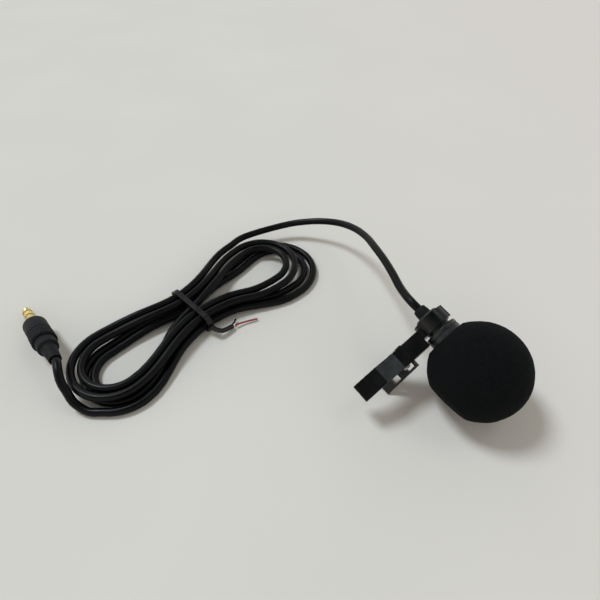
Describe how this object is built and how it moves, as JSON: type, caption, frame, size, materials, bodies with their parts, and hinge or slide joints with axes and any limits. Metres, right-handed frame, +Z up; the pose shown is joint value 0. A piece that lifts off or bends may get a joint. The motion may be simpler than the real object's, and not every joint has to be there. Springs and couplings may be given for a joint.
{
  "type": "lavalier microphone",
  "caption": "Clip-on lavalier microphone with a foam ball windscreen, a turning spring clip, a hanked thin cable and a 3.5 mm plug.",
  "frame": {"origin": "on the table that the part lies on, under the middle of the box round the microphone, clip and windscreen (the cable, its hank and its plug left out)", "axes": "+Z up; the microphone lies along Y with its windscreen towards -Y and its cable leaving towards +Y; the clip reaches towards -X"},
  "size_m": [0.1227, 0.1477, 0.0299],
  "materials": {
    "foam": "matte",
    "satin_black_plastic": "satin",
    "microphone_metal": "satin",
    "felt": "matte",
    "can_aluminium": "satin",
    "film": "gloss",
    "white_plastic": "satin",
    "contact_metal": "polished",
    "circuit_board": "satin",
    "black_rubber": "satin",
    "solder": "satin",
    "red_insulation": "satin",
    "copper": "satin",
    "spring_steel": "polished"
  },
  "bodies": {
    "microphone": {"head_grille": "microphone_metal", "acoustic_felt": "felt", "head_shell": "microphone_metal", "capsule_can": "can_aluminium", "diaphragm": "film", "spacer_ring": "white_plastic", "backplate": "contact_metal", "backplate_holder": "white_plastic", "jfet_transistor": "satin_black_plastic", "capsule_board": "circuit_board", "rear_gasket": "black_rubber", "rear_housing": "microphone_metal", "cable_ferrule": "contact_metal", "strain_relief": "black_rubber", "cable_end_in_tail": "black_rubber", "signal_solder_joint": "solder", "ground_solder_joint": "solder", "signal_lead": "red_insulation", "ground_lead": "copper", "plug_tip": "contact_metal", "plug_tip_insulator": "satin_black_plastic", "plug_ring": "contact_metal", "plug_ring_insulator": "satin_black_plastic", "plug_sleeve": "contact_metal", "plug_barrel": "satin_black_plastic", "plug_cable_boot": "black_rubber", "plug_cable_clamp": "contact_metal", "cable_end_in_plug": "black_rubber", "plug_signal_lead": "red_insulation", "plug_ground_lead": "copper", "twist_tie_band": "satin_black_plastic", "twist_tie_twist": "satin_black_plastic", "twist_tie_long_tail": "red_insulation", "twist_tie_short_tail": "satin_black_plastic", "cable_run": "black_rubber", "cable_hank": "black_rubber", "cable_plug_lead": "black_rubber"},
    "windscreen": {"foam_windscreen": "foam"},
    "clip": {"clip_upper_arm": "satin_black_plastic", "clip_hinge_pin": "spring_steel", "clip_spring": "spring_steel"},
    "clip_jaw": {"clip_lower_arm": "satin_black_plastic"}
  },
  "joints": [
    {"name": "windscreen_pull_off", "type": "slide", "parent": "microphone", "child": "windscreen", "axis": [0, -0.9677, -0.2521], "range_m": [0, 0.03]},
    {"name": "clip_turn", "type": "hinge", "parent": "microphone", "child": "clip", "pos_m": [0.00805, -0.00539, 0.01555], "axis": [0, 0.9677, 0.2521], "continuous": true},
    {"name": "jaw_open", "type": "hinge", "parent": "clip", "child": "clip_jaw", "pos_m": [-0.00558, 0.01375, 0.0129], "axis": [0, 0.9677, 0.2521], "range_deg": [0, 20], "stiffness_Nm_per_rad": 0.06, "springref_deg": -28.65, "deforming": ["clip_spring"]}
  ]
}
